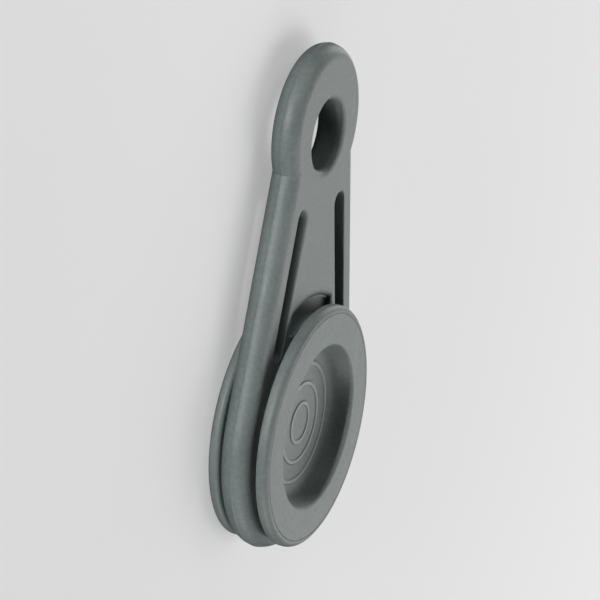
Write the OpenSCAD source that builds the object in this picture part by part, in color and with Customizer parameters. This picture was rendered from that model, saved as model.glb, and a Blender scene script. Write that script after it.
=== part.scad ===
// Tarp clip: a round front button plugs through a swivelling eye arm into a back socket.
// The clip lies on the back socket's flat face, with the disc axis on Z and the arm along +X.
// All lengths are millimetres.

/* [Front button] */
// Diameter of the button's flange
flange_d = 40; // [36:0.5:56]
// Thickness of the flange
flange_t = 2; // [1.9:0.1:4]
// Rounding of the flange's front edge
flange_round = 0.9; // [0.4:0.1:0.9]
// Rounding of the flange's rear edge
flange_rear_round = 0.4; // [0.1:0.1:0.4]
// Diameter of the thumb recess at its mouth
recess_d = 27; // [22:0.5:31]
// Depth of the thumb recess
recess_depth = 3.5; // [2.6:0.1:4.4]
// How much narrower the recess floor is, on each side
recess_taper = 1.2; // [0.4:0.1:2]
// Bevel round the recess mouth
mouth_bevel = 0.4; // [0.2:0.1:0.8]
// Rounding between the recess floor and its wall
recess_fillet = 2.8; // [1:0.1:3]
// Thickness of the recess floor
recess_floor_t = 1.2; // [0.8:0.1:1.6]
// Wall of the plug at the recess mouth
plug_wall = 1.7; // [1.2:0.1:2]
// Wall of the plug's skirt behind the recess floor
skirt_wall = 1.4; // [1:0.1:2.4]
// Bevel that leads the plug into the socket
plug_lead = 0.6; // [0.2:0.1:0.9]
// Number of grip rings on the recess floor
grip_count = 3; // [1:1:3]
// Step from one grip ring to the next
grip_pitch = 3.3; // [2.4:0.1:3.4]
// Width of a grip ring
grip_w = 0.6; // [0.4:0.1:1.2]

/* [Eye arm] */
// Thickness of the arm and its swivel ring
arm_t = 4.9; // [3.6:0.1:6]
// Width of the bar that makes the swivel ring and the arm's two ribs
bar_w = 4.4; // [3.6:0.1:6]
// Distance from the disc axis to the eye
eye_reach = 48; // [44:0.5:64]
// Diameter of the eye's hole
eye_hole_d = 11.2; // [8:0.1:14]
// Rounding of the eye hole's edges
eye_round = 1.4; // [0.4:0.1:1.6]
// Diameter of the round head at the eye
head_d = 26.4; // [24:0.2:30]
// How far the head's centre lies beyond the eye
head_shift = 1.3; // [0:0.1:3]
// Slant of each side of the arm, in degrees
arm_slant = 12.8; // [8:0.2:14]
// Width of the two slots
slot_w = 2.8; // [2.2:0.1:3.8]
// Distance from the slots' far ends back to the eye
slot_stop = 11; // [10:0.5:16]
// Wall between the slots and the swivel ring's hole
slot_wall = 1.4; // [1:0.1:2]
// How far the web's end stands out from the button's flange
web_gap = 1.4; // [0.4:0.1:2]
// Depth of the pocket that ends the web
pocket_depth = 1.2; // [0.6:0.1:2.4]
// Wall between the pocket and each slot
pocket_wall = 1.9; // [0.8:0.1:2.4]
// Width of the swivel ring's front face, inside the pocket
ring_land = 1.3; // [0.8:0.1:2]

/* [Back socket] */
// How far the socket's flange stops short of the button's flange, on each side
back_inset = 0; // [0:0.1:2]
// Thickness of the socket's flange
back_t = 1.8; // [1.6:0.1:3]
// Rounding of the flange's edges
back_round = 0.7; // [0.3:0.1:0.8]
// Thickness of the socket's floor
socket_floor_t = 1.4; // [1:0.1:1.6]
// Wall of the barrel that the eye arm swivels on
barrel_wall = 1.4; // [1:0.1:2]
// How far the barrel stops short of the arm's front face
barrel_drop = 0.2; // [0.1:0.1:1]
// Bevel inside the barrel's mouth
barrel_lead = 0.5; // [0.2:0.1:0.8]

/* [Fits] */
// Gap that takes the cloth, between the arm and the button's flange
cloth_gap = 1.3; // [0.4:0.1:2]
// Gap between the arm and the socket's flange
back_gap = 0.3; // [0.1:0.05:0.6]
// Gap between the plug's end and the socket's floor
plug_float = 0.8; // [0.4:0.1:1.6]
// Radial clearance of the plug in the barrel
plug_clear = 0.06; // [0.02:0.01:0.1]
// Radial clearance of the swivel ring on the barrel
swivel_clear = 0.08; // [0.02:0.01:0.1]

/* [Hidden] */
$fn = 96;
graphite = "#676d6c";

// A cutter runs this far past the face that it opens
over = 1;
// The ribs lie this far inside the swivel ring's tangent, so that the surfaces cross
rib_inset = 0.05;
// Angle at which a rounded edge of the arm meets a flat face, in degrees
edge_crease = 18;

// Heights, from the face that the clip lies on
arm_z0 = back_t + back_gap;
arm_z1 = arm_z0 + arm_t;
arm_mid = arm_z0 + arm_t / 2;
barrel_top = arm_z1 - barrel_drop;
flange_z0 = arm_z1 + cloth_gap;
flange_z1 = flange_z0 + flange_t;
recess_z = flange_z1 - recess_depth;
plug_z0 = socket_floor_t + plug_float;

// Radii, from the recess outwards
recess_r = recess_d / 2;
floor_r = recess_r - recess_taper;
fillet_turn = 90 - atan(recess_taper / (recess_depth - mouth_bevel));
fillet_r = floor_r - recess_fillet * tan(fillet_turn / 2);
fillet_steps = 7;
plug_r = recess_r + plug_wall;
socket_r = plug_r + plug_clear;
barrel_r = socket_r + barrel_wall;
ring_hole_r = barrel_r + swivel_clear;
ring_r = ring_hole_r + bar_w;
back_r = flange_d / 2 - back_inset;

// The arm's outer edge is one arc, from face to face
edge_r = arm_t / 2 / cos(edge_crease);

// Lines beside the arm's slanted sides: each passes the disc axis at its own distance
head_x = eye_reach + head_shift;
rib_len = head_x * cos(arm_slant);
plate_off = ring_r - edge_r;
slot_out = ring_r - bar_w;
slot_off = slot_out - slot_w / 2;
slot_start = sqrt(pow(ring_hole_r + slot_wall + slot_w / 2, 2) - pow(slot_off, 2));
slot_end_x = eye_reach - slot_stop - slot_w / 2;
slot_end = (slot_end_x - slot_off * sin(arm_slant)) / cos(arm_slant);

// The pocket lies between the swivel ring's land and the web's end
pocket_in_r = ring_hole_r + ring_land;
pocket_out_r = flange_d / 2 + web_gap;
pocket_off = slot_out - slot_w - pocket_wall;

// The point on a slanted line, off from the disc axis, that lies along its run
function side_point(off, along) = [
    off * sin(arm_slant) + along * cos(arm_slant),
    off * cos(arm_slant) - along * sin(arm_slant)
];

// The point of the recess section's rounding that has turned this far up from the floor
function fillet_point(turn) = [
    fillet_r + recess_fillet * sin(turn),
    recess_z + recess_fillet * (1 - cos(turn))
];

// Section from the axis out to radius r, with rounded corners at its rim
module disc_section(r, z0, z1, round_low, round_high) {
    translate([0, z0 + round_low]) square([r - round_high, z1 - z0 - round_low]);
    translate([0, z0]) square([r - round_low, z1 - z0 - round_high]);
    translate([0, z0 + round_low]) square([r, z1 - z0 - round_low - round_high]);
    translate([r - round_low, z0 + round_low]) circle(round_low);
    translate([r - round_high, z1 - round_high]) circle(round_high);
}

// Section of the arm's bar from x0 out to x1, proud of both faces, with its outer edge rounded
module bar_section(x0, x1) {
    translate([x0, arm_z0 - over]) square([x1 - x0 - edge_r, arm_t + 2 * over]);
    translate([x1 - edge_r, arm_mid]) circle(edge_r);
}

// Round hole through the arm, with its edges rounded on both faces
module rounded_hole(r, edge) {
    edge_deep = edge * cos(edge_crease);
    mouth_r = r + edge * (1 - sin(edge_crease));
    rotate_extrude() {
        translate([0, arm_z0 - over]) square([r, arm_t + 2 * over]);
        for (face = [0, 1])
            translate([0, arm_mid]) mirror([0, face]) difference() {
                translate([0, arm_t / 2 - edge_deep]) square([mouth_r, edge_deep + over]);
                translate([r + edge, arm_t / 2 - edge_deep]) circle(edge);
            }
    }
}

// Slot beside one of the arm's ribs, with round ends
module slot() {
    rotate(-arm_slant) translate([0, 0, arm_z0 - over]) linear_extrude(arm_t + 2 * over) {
        translate([slot_start, slot_out - slot_w]) square([slot_end - slot_start, slot_w]);
        for (along = [slot_start, slot_end])
            translate([along, slot_off]) circle(slot_w / 2);
    }
}

// Pocket round the button at the end of the web, open to the front
module pocket() {
    start = side_point(pocket_off, 0);
    end = side_point(pocket_off, slot_end);
    translate([0, 0, arm_z1 - pocket_depth]) intersection() {
        difference() {
            cylinder(h = pocket_depth + over, r = pocket_out_r);
            translate([0, 0, -over]) cylinder(h = pocket_depth + 3 * over, r = pocket_in_r);
        }
        translate([0, 0, -over]) linear_extrude(pocket_depth + 3 * over)
            polygon([start, end, [end.x, -end.y], [start.x, -start.y]]);
    }
}

// Rib along one side of the arm, tangent to the swivel ring
module rib() {
    rotate([90, 0, 90 - arm_slant]) linear_extrude(rib_len)
        bar_section(slot_off, ring_r - rib_inset);
}

// Body of the arm between the ribs, proud of both faces
module arm_plate() {
    start = side_point(plate_off, -bar_w / 2);
    end = side_point(plate_off, rib_len);
    translate([0, 0, arm_z0 - 2 * over]) linear_extrude(arm_t + 4 * over)
        polygon([start, end, [end.x, -end.y], [start.x, -start.y]]);
}

// The arm's outline with rounded edges, faced off to the arm's thickness
module arm_blank() {
    intersection() {
        union() {
            rotate_extrude() bar_section(0, ring_r);
            for (side = [0, 1]) mirror([0, side, 0]) rib();
            arm_plate();
            translate([head_x, 0, 0]) rotate_extrude() bar_section(0, head_d / 2);
        }
        translate([-2 * ring_r, -2 * ring_r, arm_z0])
            cube([head_x + head_d + 2 * ring_r, 4 * ring_r, arm_t]);
    }
}

module eye_arm() {
    color(graphite) difference() {
        arm_blank();
        translate([0, 0, arm_z0 - over]) cylinder(h = arm_t + 2 * over, r = ring_hole_r);
        translate([eye_reach, 0, 0]) rounded_hole(eye_hole_d / 2, eye_round);
        for (side = [0, 1]) mirror([0, side, 0]) slot();
        pocket();
    }
}

module front_button() {
    color(graphite) rotate_extrude() {
        difference() {
            union() {
                disc_section(flange_d / 2, flange_z0, flange_z1, flange_rear_round, flange_round);
                polygon([
                    [0, plug_z0],
                    [plug_r - plug_lead, plug_z0],
                    [plug_r, plug_z0 + plug_lead],
                    [plug_r, flange_z0 + flange_t / 2],
                    [0, flange_z0 + flange_t / 2]
                ]);
            }
            polygon(concat(
                [[0, recess_z]],
                [for (step = [0 : fillet_steps]) fillet_point(step * fillet_turn / fillet_steps)],
                [
                    [recess_r, flange_z1 - mouth_bevel],
                    [recess_r + mouth_bevel, flange_z1],
                    [recess_r + mouth_bevel, flange_z1 + over],
                    [0, flange_z1 + over]
                ]
            ));
            translate([0, plug_z0 - over])
                square([plug_r - skirt_wall, recess_z - recess_floor_t - plug_z0 + over]);
        }
        for (i = [1 : grip_count])
            translate([i * grip_pitch, recess_z]) circle(grip_w / 2);
    }
}

module back_socket() {
    color(graphite) rotate_extrude() difference() {
        union() {
            disc_section(back_r, 0, back_t, back_round, back_round);
            square([barrel_r, barrel_top]);
        }
        polygon([
            [0, socket_floor_t],
            [socket_r, socket_floor_t],
            [socket_r, barrel_top - barrel_lead],
            [socket_r + barrel_lead, barrel_top],
            [socket_r + barrel_lead, barrel_top + over],
            [0, barrel_top + over]
        ]);
    }
}

back_socket();
eye_arm();
front_button();
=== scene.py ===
"""Tarp clip in satin graphite plastic: a thumb button, a swivelling eye arm and a back socket."""

import math

import bmesh
import bpy
from mathutils import Matrix, Vector
from mathutils.geometry import delaunay_2d_cdt


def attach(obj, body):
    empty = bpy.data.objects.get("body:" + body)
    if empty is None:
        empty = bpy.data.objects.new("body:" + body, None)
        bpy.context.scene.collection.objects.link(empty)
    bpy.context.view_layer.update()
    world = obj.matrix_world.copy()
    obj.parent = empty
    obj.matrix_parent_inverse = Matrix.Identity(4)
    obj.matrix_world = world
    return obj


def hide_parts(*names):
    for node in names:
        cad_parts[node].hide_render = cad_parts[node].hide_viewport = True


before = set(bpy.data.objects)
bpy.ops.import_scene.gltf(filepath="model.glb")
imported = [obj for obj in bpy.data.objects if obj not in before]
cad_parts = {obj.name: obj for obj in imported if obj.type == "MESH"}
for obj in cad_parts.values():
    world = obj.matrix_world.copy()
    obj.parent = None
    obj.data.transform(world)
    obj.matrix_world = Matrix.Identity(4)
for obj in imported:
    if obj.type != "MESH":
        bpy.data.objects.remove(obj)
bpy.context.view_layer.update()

# Sizes are in millimetres, and the pieces fit together as their solids do
MM = 0.001

# Layers, from the face that the clip lies on
BACK_THICK = 1.8
BACK_GAP = 0.3
ARM_HALF = 2.45
CLOTH_GAP = 1.3
FLANGE_THICK = 2.0
ARM_MID = BACK_THICK + BACK_GAP + ARM_HALF
ARM_FRONT = ARM_MID + ARM_HALF
FLANGE_LOW = ARM_FRONT + CLOTH_GAP
FLANGE_TOP = FLANGE_LOW + FLANGE_THICK

# Button: flange, with a fine line near its edge
FLANGE_R = 20.0
FLANGE_ROUND = 1.08
FLANGE_REAR_ROUND = 0.4
LINE_R = 18.8
LINE_HALF = 0.08
LINE_DEEP = 0.07

# Button: thumb recess
RECESS_DEPTH = 3.5
RECESS_FLOOR = FLANGE_TOP - RECESS_DEPTH
RECESS_FLOOR_R = 12.3
RECESS_FILLET = 2.8
MOUTH_R = 13.6
MOUTH_ROUND = 0.5

# Button: grip rings on the recess floor.
# Their tops carry a painted highlight, paler from one height over that floor to another, inside a radius
GRIP_COUNT = 3
GRIP_PITCH = 3.3
GRIP_HALF = 0.46
GRIP_TOP_HALF = GRIP_HALF / 2
GRIP_HIGH = 0.17
GRIP_FOOT_ROUND = 0.08
GRIP_TOP_ROUND = 0.1
HIGHLIGHT_FROM = 0.03
HIGHLIGHT_FULL = 0.12
HIGHLIGHT_R = 10.3
HIGHLIGHT_EDGE = 0.05

# Socket, with the barrel that the arm swivels on
BACK_R = FLANGE_R
BACK_ROUND = 0.7
SOCKET_FLOOR = 1.4
SOCKET_FLOOR_ROUND = 0.25
BARREL_WALL = 1.4
BARREL_DROP = 0.2
BARREL_TOP = ARM_FRONT - BARREL_DROP
BARREL_LEAD = 0.5
BARREL_LEAD_ROUND = 0.1
BARREL_TOP_ROUND = 0.15
BARREL_FOOT_ROUND = 0.2

# Button: plug that goes into the barrel
PLUG_R = 15.2
PLUG_CLEAR = 0.06
PLUG_FLOAT = 0.8
PLUG_END = SOCKET_FLOOR + PLUG_FLOAT
PLUG_LEAD = 0.6
PLUG_LEAD_ROUND = 0.12
PLUG_ROOT_ROUND = 0.3
SKIRT_WALL = 1.4
SKIRT_R = PLUG_R - SKIRT_WALL
SKIRT_ROUND = 0.15
CUP_THICK = 1.2
CUP_ROUND = 0.3
SOCKET_R = PLUG_R + PLUG_CLEAR
BARREL_R = SOCKET_R + BARREL_WALL

# Eye arm: its rounded outline stays a hair inside its solid's.
# Each side runs in at the slant, and the side angle points out square to the +Y side
SWIVEL_CLEAR = 0.08
BAR_W = 4.4
HAIR = 0.01
RING_HOLE_R = BARREL_R + SWIVEL_CLEAR
RING_HOLE_ROUND = 0.3
RING_R = RING_HOLE_R + BAR_W - HAIR
ARM_SLANT = math.radians(12.8)
SIDE_ANGLE = math.pi / 2 - ARM_SLANT
EYE_X = 48.0
EYE_R = 5.6
EYE_ROUND = 1.4
HEAD_SHIFT = 1.3
HEAD_X = EYE_X + HEAD_SHIFT
HEAD_HALF = 13.2
HEAD_R = HEAD_HALF - HAIR

# Mould seam along the arm's rim
SEAM_PROUD = 0.06
SEAM_W = 0.3

# Slots: near and far are the places of their round ends' middles along the arm's sides.
# Their edges are rounded in full towards the web, and by a share elsewhere
SLOT_NEAR = 12.1
SLOT_FAR = 33.02
SLOT_R = 1.4
SLOT_OFF = RING_HOLE_R - SLOT_R
SLOT_ROUND = 1.55
SLOT_ROUND_DEEP = 1.0
SLOT_RIB_SHARE = 0.12
SLOT_NEAR_SHARE = 0.4

# Pocket in the web's end, round the button.
# The foot of its broad rounding stands nearer to the button than the solid's plain wall
WEB_GAP = 1.0
RING_LAND = 1.3
POCKET_OUT_R = FLANGE_R + WEB_GAP
POCKET_IN_R = RING_HOLE_R + RING_LAND
POCKET_WALL = 1.9
POCKET_CORNER = 1.1
POCKET_DEPTH = 1.2
POCKET_ROUND = 1.5
POCKET_ROUND_DEEP = 0.85
POCKET_SIDE_SHARE = 0.15
POCKET_FLOOR_ROUND = 0.35

# Border of each flat face of the arm, which keeps its shading flat
HOLD = 0.06

# Steps in which round and straight stretches are cut
LATHE_SEGMENTS = 192
CORNER_STEPS = 7
RIM_STEPS = 16
HOLE_STEPS = 10
RING_STEPS = 150
RING_HOLE_STEPS = 128
SIDE_STEPS = 40
HEAD_STEPS = 100
EYE_STEPS = 96
SLOT_END_STEPS = 20
SLOT_SIDE_STEPS = 24
POCKET_ARC_STEPS = 24
POCKET_CORNER_STEPS = 10
POCKET_SIDE_STEPS = 3
POCKET_FLOOR_STEPS = 5

# Points closer than this count as one: in metres on the lathe, in millimetres in a flat face
LATHE_MERGE = 1e-6
FLAT_MERGE = 1e-6

# Faces that meet at more than this many degrees stay crisp
TURNED_CREASE = 34
ARM_CREASE = 30

# Graphite plastic: its two greys, its paler scuffs and the painted highlight on the grip rings' tops
DEEP_GREY = (0.106, 0.13, 0.125, 1.0)
LIGHT_GREY = (0.146, 0.173, 0.167, 1.0)
SCUFF_GREY = (0.24, 0.26, 0.26, 1.0)
CREST_HIGHLIGHT_GREY = (0.25, 0.284, 0.278, 1.0)

# Graphite plastic: how fine its patterns are, per metre, its grain's depth in metres, and its gloss
CLOUD_SCALE = 110.0
SPECK_SCALE = 1700.0
GRAIN_SCALE = 5200.0
SCUFF_SCALE = (28.0, 900.0, 900.0)
SCUFF_TURN = (0.4, 0.2, 0.9)
GRAIN_DEEP = 0.00006
GRAIN_STRENGTH = 0.3
SCUFF_SHARE = 0.18
SATIN = 0.44
PLASTIC_IOR = 1.49

# Floor and background, in metres: lit near the clip and evenly pale far from it
FLOOR_HALF = 3.0
FLOOR_NEAR = 0.1
FLOOR_FAR = 0.6
FLOOR_EVEN_SHARE = 0.42
PALE = (0.93, 0.93, 0.93, 1.0)
PALE_STRENGTH = 0.92
THROWN_GREY = (0.2, 0.2, 0.2, 1.0)
WHITE = (1.0, 1.0, 1.0, 1.0)
WORLD_STRENGTH = 0.07

# Camera, in metres: the way to it, the way up in its picture and the point in its middle
TO_CAMERA = Vector((0.2938, 0.8832, 0.3656)).normalized()
IMAGE_UP = Vector((0.9513, -0.2329, -0.202))
AIM = Vector((0.0204, 0.0, 0.0048))
CAMERA_DISTANCE = 0.5
SHOWN_HEIGHT = 0.096
SENSOR_MM = 36.0
NEAREST_SHOWN = 0.01

# Places of a Mix node's colour sockets
MIX_FIRST = 6
MIX_SECOND = 7
MIX_RESULT = 2


class Value:
    """One output of a node tree: sums and products of them add Math nodes."""

    def __init__(self, nodes, socket):
        self.nodes = nodes
        self.socket = socket

    def output(self, name):
        """Another output of the same node."""
        return Value(self.nodes, self.socket.node.outputs[name])

    def math(self, operation, first, second=None):
        inputs = {0: first} if second is None else {0: first, 1: second}
        return self.nodes.add("ShaderNodeMath", {"operation": operation}, inputs)

    def __add__(self, other):
        return self.math("ADD", self, other)

    def __radd__(self, other):
        return self.math("ADD", other, self)

    def __sub__(self, other):
        return self.math("SUBTRACT", self, other)

    def __rsub__(self, other):
        return self.math("SUBTRACT", other, self)

    def __mul__(self, other):
        return self.math("MULTIPLY", self, other)

    def __rmul__(self, other):
        return self.math("MULTIPLY", other, self)

    def __truediv__(self, other):
        return self.math("DIVIDE", self, other)

    def __rtruediv__(self, other):
        return self.math("DIVIDE", other, self)

    def floor(self):
        return self.math("FLOOR", self)

    def sine(self):
        return self.math("SINE", self)

    def cosine(self):
        return self.math("COSINE", self)

    def between(self, low, high):
        """Runs from 0 to 1 as the value goes from low to high."""
        inputs = {"Value": self, "From Min": low, "From Max": high}
        return self.nodes.add("ShaderNodeMapRange", None, inputs)


class Nodes:
    """A node tree that is filled by calls of add."""

    def __init__(self, tree):
        self.tree = tree

    def add(self, kind, settings=None, inputs=None, output=0):
        node = self.tree.nodes.new(kind)
        for name, setting in (settings or {}).items():
            setattr(node, name, setting)
        for name, given in (inputs or {}).items():
            self.put(node.inputs[name], given)
        return Value(self, node.outputs[output]) if node.outputs else None

    def put(self, socket, given):
        if isinstance(given, Value):
            self.tree.links.new(given.socket, socket)
        else:
            socket.default_value = given

    def noise(self, place, scale, detail):
        inputs = {"Vector": place, "Scale": scale, "Detail": detail}
        return self.add("ShaderNodeTexNoise", None, inputs, "Fac")

    def mixed_colour(self, factor, first, second):
        inputs = {0: factor, MIX_FIRST: first, MIX_SECOND: second}
        return self.add("ShaderNodeMix", {"data_type": "RGBA"}, inputs, MIX_RESULT)

    def mixed_shader(self, factor, first, second):
        return self.add("ShaderNodeMixShader", None, {0: factor, 1: first, 2: second})


# Materials


def blank_material(name):
    """A material without nodes, and its tree to fill."""
    material = bpy.data.materials.new(name)
    material.use_nodes = True
    material.node_tree.nodes.clear()
    return material, Nodes(material.node_tree)


def painted_grip_highlight(nodes, here):
    """Mask of the painted highlight on the grip rings' tops: 1 where the recess floor is raised inside the
    outermost ring.
    """
    height = nodes.add("ShaderNodeSeparateXYZ", None, {0: here}, "Z")
    flat = nodes.add("ShaderNodeVectorMath", {"operation": "MULTIPLY"}, {0: here, 1: (1.0, 1.0, 0.0)})
    radius = nodes.add("ShaderNodeVectorMath", {"operation": "LENGTH"}, {0: flat}, "Value")
    raised = height.between((RECESS_FLOOR + HIGHLIGHT_FROM) * MM, (RECESS_FLOOR + HIGHLIGHT_FULL) * MM)
    inner = radius.between((HIGHLIGHT_R + HIGHLIGHT_EDGE) * MM, HIGHLIGHT_R * MM)
    return raised * inner


def moulded_graphite(name, shift, crest_highlight=False):
    """Satin moulded plastic: a fine eroded grain, faint clouding and a few hairline scuffs.

    The shift moves the patterns. A flag paints a highlight on the tops of the grip rings, which makes them
    paler."""
    material, nodes = blank_material(name)
    here = nodes.add("ShaderNodeTexCoord", None, None, "Object")
    place = nodes.add("ShaderNodeMapping", None, {"Vector": here, "Location": (shift, shift, 0)})
    clouds = nodes.noise(place, CLOUD_SCALE, detail=3.0)
    specks = nodes.noise(place, SPECK_SCALE, detail=2.5)
    grain = nodes.noise(place, GRAIN_SCALE, detail=3.0)
    stretched = nodes.add(
        "ShaderNodeMapping",
        None,
        {"Vector": place, "Rotation": SCUFF_TURN, "Scale": SCUFF_SCALE},
    )
    hairs = nodes.noise(stretched, 1.0, detail=2.0)
    scuffs = hairs.between(low=0.66, high=0.74)

    tone = (clouds * 0.5 + specks * 0.5).between(low=0.36, high=0.64)
    colour = nodes.mixed_colour(tone, DEEP_GREY, LIGHT_GREY)
    colour = nodes.mixed_colour(scuffs * SCUFF_SHARE, colour, SCUFF_GREY)
    # Painted highlight: the grip rings' tops are made paler
    if crest_highlight:
        colour = nodes.mixed_colour(painted_grip_highlight(nodes, here), colour, CREST_HIGHLIGHT_GREY)
    roughness = SATIN + clouds * 0.1 + grain * 0.1 - scuffs * 0.05
    relief = grain + specks * 1.6 - scuffs * 0.2
    bump = nodes.add(
        "ShaderNodeBump",
        None,
        {"Strength": GRAIN_STRENGTH, "Distance": GRAIN_DEEP, "Height": relief},
    )
    finish = nodes.add(
        "ShaderNodeBsdfPrincipled",
        None,
        {"Base Color": colour, "Roughness": roughness, "IOR": PLASTIC_IOR, "Normal": bump},
    )
    nodes.add("ShaderNodeOutputMaterial", None, {"Surface": finish})
    return material


def pale_floor_finish():
    """Pale floor to the camera, evenly pale far off, and greyer to the light that it throws back."""
    material, nodes = blank_material("pale_floor")
    seen = nodes.add("ShaderNodeLightPath", None, None, "Is Camera Ray")
    here = nodes.add("ShaderNodeTexCoord", None, None, "Object")
    away = nodes.add("ShaderNodeVectorMath", {"operation": "LENGTH"}, {0: here}, "Value")
    far = away.between(FLOOR_NEAR, FLOOR_FAR)
    lit = nodes.add("ShaderNodeBsdfDiffuse", None, {"Color": PALE})
    even = nodes.add("ShaderNodeEmission", None, {"Color": PALE, "Strength": PALE_STRENGTH})
    shown = nodes.mixed_shader(FLOOR_EVEN_SHARE + far * (1 - FLOOR_EVEN_SHARE), lit, even)
    thrown = nodes.add("ShaderNodeBsdfDiffuse", None, {"Color": THROWN_GREY})
    both = nodes.mixed_shader(seen, thrown, shown)
    nodes.add("ShaderNodeOutputMaterial", None, {"Surface": both})
    return material


# Meshes


def put_in_scene(name, data):
    thing = bpy.data.objects.new(name, data)
    bpy.context.scene.collection.objects.link(thing)
    return thing


def face_outwards(mesh):
    shell = bmesh.new()
    shell.from_mesh(mesh)
    bmesh.ops.recalc_face_normals(shell, faces=shell.faces)
    shell.to_mesh(mesh)
    shell.free()


def shade(mesh, crease_degrees):
    """Smooth shading, kept crisp where faces meet at more than the crease angle."""
    mesh.polygons.foreach_set("use_smooth", [True] * len(mesh.polygons))
    mesh.set_sharp_from_angle(angle=math.radians(crease_degrees))


# Turned pieces: the button and the socket


def rounded(corners):
    """Section points (r, z) of a run of corners (r, z, fillet radius)."""
    points = []
    for i, (r, z, fillet) in enumerate(corners):
        here = Vector((r, z))
        if fillet == 0 or i in (0, len(corners) - 1):
            points.append(here)
            continue
        before = (Vector(corners[i - 1][:2]) - here).normalized()
        after = (Vector(corners[i + 1][:2]) - here).normalized()
        half = math.acos(max(-1.0, min(1.0, before.dot(after)))) / 2
        centre = here + (before + after).normalized() * (fillet / math.sin(half))
        start = here + before * (fillet / math.tan(half)) - centre
        end = here + after * (fillet / math.tan(half)) - centre
        turn = math.atan2(start.x * end.y - start.y * end.x, start.dot(end))
        for step in range(CORNER_STEPS + 1):
            points.append(centre + Matrix.Rotation(turn * step / CORNER_STEPS, 2) @ start)
    return points


def grip_corners():
    """Section of the grip rings on the recess floor, from the inside out."""
    crest = RECESS_FLOOR + GRIP_HIGH
    corners = []
    for count in range(GRIP_COUNT):
        ring = GRIP_PITCH * (count + 1)
        corners += [
            (ring - GRIP_HALF, RECESS_FLOOR, GRIP_FOOT_ROUND),
            (ring - GRIP_TOP_HALF, crest, GRIP_TOP_ROUND),
            (ring + GRIP_TOP_HALF, crest, GRIP_TOP_ROUND),
            (ring + GRIP_HALF, RECESS_FLOOR, GRIP_FOOT_ROUND),
        ]
    return corners


def button_corners():
    """The button's section, from the middle of the recess floor round to the middle of its underside."""
    cup_low = RECESS_FLOOR - CUP_THICK
    return [
        (0.0, RECESS_FLOOR, 0.0),
        *grip_corners(),
        (RECESS_FLOOR_R, RECESS_FLOOR, RECESS_FILLET),
        (MOUTH_R, FLANGE_TOP, MOUTH_ROUND),
        (LINE_R - LINE_HALF, FLANGE_TOP, 0.0),
        (LINE_R, FLANGE_TOP - LINE_DEEP, 0.0),
        (LINE_R + LINE_HALF, FLANGE_TOP, 0.0),
        (FLANGE_R, FLANGE_TOP, FLANGE_ROUND),
        (FLANGE_R, FLANGE_LOW, FLANGE_REAR_ROUND),
        (PLUG_R, FLANGE_LOW, PLUG_ROOT_ROUND),
        (PLUG_R, PLUG_END + PLUG_LEAD, PLUG_LEAD_ROUND),
        (PLUG_R - PLUG_LEAD, PLUG_END, PLUG_LEAD_ROUND),
        (SKIRT_R, PLUG_END, SKIRT_ROUND),
        (SKIRT_R, cup_low, CUP_ROUND),
        (0.0, cup_low, 0.0),
    ]


def socket_corners():
    """The socket's section, from the middle of its back face round to the middle of its floor."""
    return [
        (0.0, 0.0, 0.0),
        (BACK_R, 0.0, BACK_ROUND),
        (BACK_R, BACK_THICK, BACK_ROUND),
        (BARREL_R, BACK_THICK, BARREL_FOOT_ROUND),
        (BARREL_R, BARREL_TOP, BARREL_TOP_ROUND),
        (SOCKET_R + BARREL_LEAD, BARREL_TOP, BARREL_LEAD_ROUND),
        (SOCKET_R, BARREL_TOP - BARREL_LEAD, BARREL_LEAD_ROUND),
        (SOCKET_R, SOCKET_FLOOR, SOCKET_FLOOR_ROUND),
        (0.0, SOCKET_FLOOR, 0.0),
    ]


def lathe_tree():
    """Geometry Nodes tree that turns a section in the XZ plane round the Z axis."""
    tree = bpy.data.node_groups.new("lathe", "GeometryNodeTree")
    tree.interface.new_socket("Section", in_out="INPUT", socket_type="NodeSocketGeometry")
    tree.interface.new_socket("Segments", in_out="INPUT", socket_type="NodeSocketInt")
    tree.interface.new_socket("Finish", in_out="INPUT", socket_type="NodeSocketMaterial")
    tree.interface.new_socket("Turned", in_out="OUTPUT", socket_type="NodeSocketGeometry")
    nodes = Nodes(tree)
    section = nodes.add("NodeGroupInput", None, None, "Section")
    segments = section.output("Segments")

    # A flat grid has one row for each section point, and its columns are turned round the axis
    columns = segments + 1.0
    count = nodes.add("GeometryNodeAttributeDomainSize", {"component": "MESH"}, {0: section}, "Point Count")
    grid = nodes.add("GeometryNodeMeshGrid", None, {"Vertices X": count, "Vertices Y": columns}, "Mesh")
    index = nodes.add("GeometryNodeInputIndex")
    row = ((index + 0.5) / columns).floor()
    angle = (index - row * columns) / segments * (2 * math.pi)
    sampled = nodes.add(
        "GeometryNodeSampleIndex",
        {"data_type": "FLOAT_VECTOR"},
        {"Geometry": section, "Value": nodes.add("GeometryNodeInputPosition"), "Index": row},
    )
    radius = nodes.add("ShaderNodeSeparateXYZ", None, {0: sampled}, "X")
    turned = nodes.add(
        "ShaderNodeCombineXYZ",
        None,
        {"X": radius * angle.cosine(), "Y": radius * angle.sine(), "Z": radius.output("Z")},
    )
    placed = nodes.add("GeometryNodeSetPosition", None, {"Geometry": grid, "Position": turned})
    closed = nodes.add("GeometryNodeMergeByDistance", None, {"Geometry": placed, "Distance": LATHE_MERGE})
    real = nodes.add("GeometryNodeRealizeInstances", None, {"Geometry": closed})
    finished = nodes.add(
        "GeometryNodeSetMaterial",
        None,
        {"Geometry": real, "Material": section.output("Finish")},
    )
    nodes.add("NodeGroupOutput", None, {"Turned": finished})
    return tree


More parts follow.
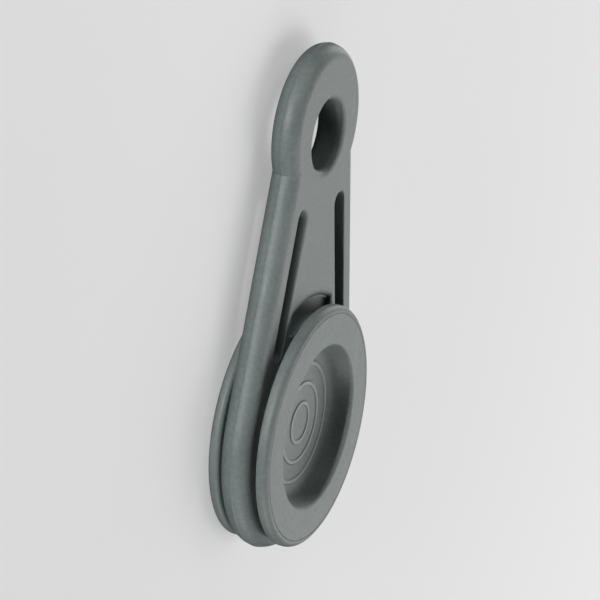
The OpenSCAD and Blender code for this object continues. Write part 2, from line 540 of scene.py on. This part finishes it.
def turned_piece(name, corners, tree, finish):
    """A closed piece turned from its section by the lathe tree."""
    points = rounded(corners)
    section = bpy.data.meshes.new(name + "_section")
    steps = [(i, i + 1) for i in range(len(points) - 1)]
    section.from_pydata([(p.x * MM, 0.0, p.y * MM) for p in points], steps, [])
    maker = put_in_scene(name + "_section", section)
    turning = maker.modifiers.new("lathe", "NODES")
    turning.node_group = tree
    sockets = {item.name: item.identifier for item in tree.interface.items_tree}
    turning[sockets["Segments"]] = LATHE_SEGMENTS
    turning[sockets["Finish"]] = finish
    evaluated = maker.evaluated_get(bpy.context.evaluated_depsgraph_get())
    mesh = bpy.data.meshes.new_from_object(evaluated)
    bpy.data.objects.remove(maker)
    mesh.name = name
    face_outwards(mesh)
    shade(mesh, TURNED_CREASE)
    return put_in_scene(name, mesh)


# Eye arm: outlines


def towards(angle):
    """Direction at an angle from the X axis."""
    return Vector((math.cos(angle), math.sin(angle)))


def side_point(off, along):
    """Point on the slanted line that passes the disc axis at off, this far along it."""
    return Vector(
        (
            off * math.sin(ARM_SLANT) + along * math.cos(ARM_SLANT),
            off * math.cos(ARM_SLANT) - along * math.sin(ARM_SLANT),
        )
    )


def arc(centre, radius, start, end, steps):
    """Points of an arc, without its last one."""
    angles = [start + (end - start) * step / steps for step in range(steps)]
    return [Vector(centre) + towards(angle) * radius for angle in angles]


def straight(start, end, steps):
    """Points of a line, without its last one."""
    return [start.lerp(end, step / steps) for step in range(steps)]


def mirrored(points):
    return [Vector((p.x, -p.y)) for p in points]


def arm_outline(inset):
    """The arm's outer outline, moved inwards: ring, straight sides and round head."""
    line_off = RING_R - inset
    head_r = HEAD_R - inset
    head_off = HEAD_X * math.sin(ARM_SLANT)
    meet = HEAD_X * math.cos(ARM_SLANT) - math.sqrt(head_r**2 - (line_off - head_off) ** 2)
    corner = side_point(line_off, meet)
    start = side_point(line_off, 0.0)
    low_start, low_corner = mirrored([start, corner])
    head_angle = math.atan2(corner.y, corner.x - HEAD_X)
    points = arc((0, 0), line_off, SIDE_ANGLE, 2 * math.pi - SIDE_ANGLE, RING_STEPS)
    points += straight(low_start, low_corner, SIDE_STEPS)
    points += arc((HEAD_X, 0), head_r, -head_angle, head_angle, HEAD_STEPS)
    points += straight(corner, start, SIDE_STEPS)
    return points


def ring_hole_outline(grow):
    return arc((0, 0), RING_HOLE_R + grow, 0.0, 2 * math.pi, RING_HOLE_STEPS)


def eye_outline(grow):
    return arc((EYE_X, 0), EYE_R + grow, 0.0, 2 * math.pi, EYE_STEPS)


def slot_end(along, start, grow, web_share):
    """Half round of a slot's end, moved outwards by a share that grows from the rib to the web."""
    middle = side_point(SLOT_OFF, along)
    points = []
    for step in range(SLOT_END_STEPS + 1):
        angle = start + math.pi * step / SLOT_END_STEPS
        to_web = (1 - math.cos(angle - SIDE_ANGLE)) / 2
        share = SLOT_RIB_SHARE + (web_share - SLOT_RIB_SHARE) * to_web
        points.append(middle + towards(angle) * (SLOT_R + grow * share))
    return points


def slot_outline(grow):
    """The slot on the +Y side, moved outwards: in full towards the web, a little towards the rib."""
    far = slot_end(SLOT_FAR, SIDE_ANGLE - math.pi, grow, 1.0)
    near = slot_end(SLOT_NEAR, SIDE_ANGLE, grow, SLOT_NEAR_SHARE)
    rib_side = straight(far[-1], near[0], SLOT_SIDE_STEPS)
    web_side = straight(near[-1], far[0], SLOT_SIDE_STEPS)
    return far[:-1] + rib_side + near[:-1] + web_side


def other_slot_outline(grow):
    return mirrored(slot_outline(grow))


def pocket_outline(grow):
    """The pocket's rounded outline, moved outwards: in full at the web's end, a little elsewhere."""
    side_grow = grow * POCKET_SIDE_SHARE
    off = SLOT_OFF - SLOT_R - POCKET_WALL - POCKET_CORNER
    out_r = POCKET_OUT_R - POCKET_CORNER
    in_r = POCKET_IN_R + POCKET_CORNER
    outer = side_point(off, math.sqrt(out_r**2 - off**2))
    inner = side_point(off, math.sqrt(in_r**2 - off**2))
    out_angle = math.atan2(outer.y, outer.x)
    in_angle = math.atan2(inner.y, inner.x)
    upper = arc((0, 0), POCKET_OUT_R + grow, 0.0, out_angle, POCKET_ARC_STEPS)
    for step in range(POCKET_CORNER_STEPS):
        turned = step / POCKET_CORNER_STEPS
        corner = POCKET_CORNER + side_grow + (grow - side_grow) * (1 - turned) ** 2
        upper.append(outer + towards(out_angle + (SIDE_ANGLE - out_angle) * turned) * corner)
    corner = POCKET_CORNER + side_grow
    to_side = towards(SIDE_ANGLE) * corner
    upper += straight(outer + to_side, inner + to_side, POCKET_SIDE_STEPS)
    upper += arc(inner, corner, SIDE_ANGLE, in_angle + math.pi, POCKET_CORNER_STEPS)
    upper += arc((0, 0), POCKET_IN_R - side_grow, in_angle, 0.0, POCKET_ARC_STEPS)
    turn = Vector((POCKET_IN_R - side_grow, 0.0))
    return upper + [turn] + mirrored(reversed(upper[1:]))


def quarter(width, depth, steps):
    """Inset and drop of a rounded edge, from the flat face to the wall."""
    turns = [math.pi / 2 * step / steps for step in range(steps + 1)]
    return [(width * (1 - math.sin(turn)), depth * (1 - math.cos(turn))) for turn in turns]


def inside(point, loop):
    """Whether a point lies within a closed loop."""
    odd = False
    for a, b in zip(loop, loop[1:] + loop[:1]):
        if (a.y > point.y) != (b.y > point.y):
            if point.x < (b.x - a.x) * (point.y - a.y) / (b.y - a.y) + a.x:
                odd = not odd
    return odd


# Eye arm: surface


class Shell:
    """A closed mesh made from loops of the arm's outlines."""

    def __init__(self):
        self.mesh = bmesh.new()

    def loop(self, outline, z):
        return [self.mesh.verts.new((p.x * MM, p.y * MM, z * MM)) for p in outline]

    def bridge(self, first, second):
        for i in range(len(first)):
            j = (i + 1) % len(first)
            self.mesh.faces.new((first[i], first[j], second[j], second[i]))

    def skin(self, loops):
        for first, second in zip(loops, loops[1:]):
            self.bridge(first, second)

    def flat(self, border, holes):
        """Fills the flat face between a border loop and its holes."""
        loops = [border] + holes
        verts = [vert for loop in loops for vert in loop]
        rims = [[Vector((v.co.x / MM, v.co.y / MM)) for v in loop] for loop in loops]
        points = [point for rim in rims for point in rim]
        edges = []
        for rim in rims:
            first = len(edges)
            edges += [(first + i, first + (i + 1) % len(rim)) for i in range(len(rim))]
        _, _, faces, sources, _, _ = delaunay_2d_cdt(points, edges, [], 0, FLAT_MERGE)
        for face in faces:
            corners = [sources[i][0] for i in face]
            middle = sum((points[i] for i in corners), Vector((0.0, 0.0))) / len(corners)
            if inside(middle, rims[0]) and not any(inside(middle, rim) for rim in rims[1:]):
                self.mesh.faces.new([verts[i] for i in corners])

    def done(self, name):
        bmesh.ops.recalc_face_normals(self.mesh, faces=self.mesh.faces)
        mesh = bpy.data.meshes.new(name)
        self.mesh.to_mesh(mesh)
        self.mesh.free()
        return mesh


def rim_levels():
    """Inset and height over the arm's middle of its round rim, from face to face, with the mould seam."""
    upper = [(ARM_HALF + HOLD, ARM_HALF)]
    for step in range(RIM_STEPS):
        turn = math.pi / 2 * (1 - step / RIM_STEPS)
        inset = SEAM_PROUD + (ARM_HALF - SEAM_PROUD) * (1 - math.cos(turn))
        height = ARM_HALF * math.sin(turn)
        if height > SEAM_W:
            upper.append((inset, height))
    upper += [(SEAM_PROUD, SEAM_W / 2), (0.0, SEAM_W / 6)]
    return upper + [(inset, -height) for inset, height in reversed(upper)]


def through_hole(shell, outline, edge, edge_deep):
    """Walls of a hole right through the arm; gives its loops in the front and rear faces."""
    upper = [(edge + HOLD, ARM_HALF)]
    upper += [(inset, ARM_HALF - drop) for inset, drop in quarter(edge, edge_deep, HOLE_STEPS)]
    levels = upper + [(inset, -height) for inset, height in reversed(upper)]
    loops = [shell.loop(outline(inset), ARM_MID + height) for inset, height in levels]
    shell.skin(loops)
    return loops[0], loops[-1]


def blind_pocket(shell):
    """Walls and floor of the pocket; gives its loop in the front face."""
    levels = [(POCKET_ROUND + HOLD, 0.0)]
    levels += quarter(POCKET_ROUND, POCKET_ROUND_DEEP, CORNER_STEPS)
    for inset, drop in reversed(quarter(POCKET_FLOOR_ROUND, POCKET_FLOOR_ROUND, POCKET_FLOOR_STEPS)):
        levels.append((inset - POCKET_FLOOR_ROUND, POCKET_DEPTH - drop))
    levels.append((-POCKET_FLOOR_ROUND - HOLD, POCKET_DEPTH))
    loops = [shell.loop(pocket_outline(inset), ARM_FRONT - drop) for inset, drop in levels]
    shell.skin(loops)
    shell.flat(loops[-1], [])
    return loops[0]


def eye_arm_piece(finish):
    """The arm in one closed mesh: round rim, ring hole, eye, two slots and the pocket."""
    shell = Shell()
    rim = [shell.loop(arm_outline(inset), ARM_MID + height) for inset, height in rim_levels()]
    shell.skin(rim)
    holes = [
        through_hole(shell, ring_hole_outline, RING_HOLE_ROUND, RING_HOLE_ROUND),
        through_hole(shell, eye_outline, EYE_ROUND, EYE_ROUND),
        through_hole(shell, slot_outline, SLOT_ROUND, SLOT_ROUND_DEEP),
        through_hole(shell, other_slot_outline, SLOT_ROUND, SLOT_ROUND_DEEP),
    ]
    pocket = blind_pocket(shell)
    shell.flat(rim[0], [front for front, rear in holes] + [pocket])
    shell.flat(rim[-1], [rear for front, rear in holes])
    mesh = shell.done("eye_arm_moulding")
    mesh.materials.append(finish)
    shade(mesh, ARM_CREASE)
    return put_in_scene("eye_arm_moulding", mesh)


# Assembly

lathe = lathe_tree()
button_finish = moulded_graphite("button_graphite", shift=0.13, crest_highlight=True)
socket_finish = moulded_graphite("socket_graphite", shift=0.41)
arm_finish = moulded_graphite("arm_graphite", shift=0.77)
button = turned_piece("thumb_button", button_corners(), lathe, button_finish)
socket = turned_piece("back_cup", socket_corners(), lathe, socket_finish)
arm = eye_arm_piece(arm_finish)

for piece, node in ((button, "front_button"), (socket, "back_socket"), (arm, "eye_arm")):
    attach(piece, node)
    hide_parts(node)


# Stage


def lay_floor():
    mesh = bpy.data.meshes.new("floor")
    corners = [(-1, -1), (1, -1), (1, 1), (-1, 1)]
    mesh.from_pydata([(x * FLOOR_HALF, y * FLOOR_HALF, 0.0) for x, y in corners], [], [(0, 1, 2, 3)])
    mesh.materials.append(pale_floor_finish())
    put_in_scene("floor", mesh)


def set_camera():
    right = IMAGE_UP.cross(TO_CAMERA).normalized()
    up = TO_CAMERA.cross(right)
    lens = bpy.data.cameras.new("camera")
    lens.sensor_width = SENSOR_MM
    lens.lens = SENSOR_MM * CAMERA_DISTANCE / SHOWN_HEIGHT
    lens.clip_start = NEAREST_SHOWN
    viewer = put_in_scene("camera", lens)
    turned = Matrix((right, up, TO_CAMERA)).transposed().to_4x4()
    viewer.matrix_world = Matrix.Translation(AIM + TO_CAMERA * CAMERA_DISTANCE) @ turned
    bpy.context.scene.camera = viewer


def set_world():
    """Weak even light for the clip, and the pale background for the camera."""
    world = bpy.data.worlds.new("studio")
    world.use_nodes = True
    world.node_tree.nodes.clear()
    nodes = Nodes(world.node_tree)
    seen = nodes.add("ShaderNodeLightPath", None, None, "Is Camera Ray")
    lit = nodes.add("ShaderNodeBackground", None, {"Color": WHITE, "Strength": WORLD_STRENGTH})
    shown = nodes.add("ShaderNodeBackground", None, {"Color": PALE, "Strength": PALE_STRENGTH})
    nodes.add("ShaderNodeOutputWorld", None, {"Surface": nodes.mixed_shader(seen, lit, shown)})
    bpy.context.scene.world = world


def soft_light(name, way, distance, width, height, watts, spread=180):
    """Flat lamp that shines at the clip from the given way, over a spread in degrees."""
    lamp = bpy.data.lights.new(name, "AREA")
    lamp.shape = "RECTANGLE"
    lamp.size = width
    lamp.size_y = height
    lamp.energy = watts
    lamp.spread = math.radians(spread)
    light = put_in_scene(name, lamp)
    away = Vector(way).normalized()
    turned = away.to_track_quat("Z", "Y").to_matrix().to_4x4()
    light.matrix_world = Matrix.Translation(AIM + away * distance) @ turned


lay_floor()
set_camera()
set_world()
soft_light("key", way=(-0.32, -0.77, 0.55), distance=1.2, width=1.0, height=1.0, watts=8.3)
soft_light("fill", way=(0.8, 0.05, 0.45), distance=0.25, width=0.1, height=0.1, watts=0.07)
soft_light("side", way=(0.35, 0.93, 0.02), distance=0.9, width=0.35, height=0.03, watts=0.31, spread=30)
soft_light("top", way=(-0.35, -0.25, 0.9), distance=1.0, width=0.6, height=0.6, watts=2.1)
soft_light("back", way=(-0.95, 0.2, 0.2), distance=0.9, width=0.5, height=0.3, watts=3.0)
soft_light("rear", way=(0.3, -0.95, 0.1), distance=0.9, width=0.5, height=0.2, watts=2.4)
bpy.context.scene.view_settings.view_transform = "Standard"
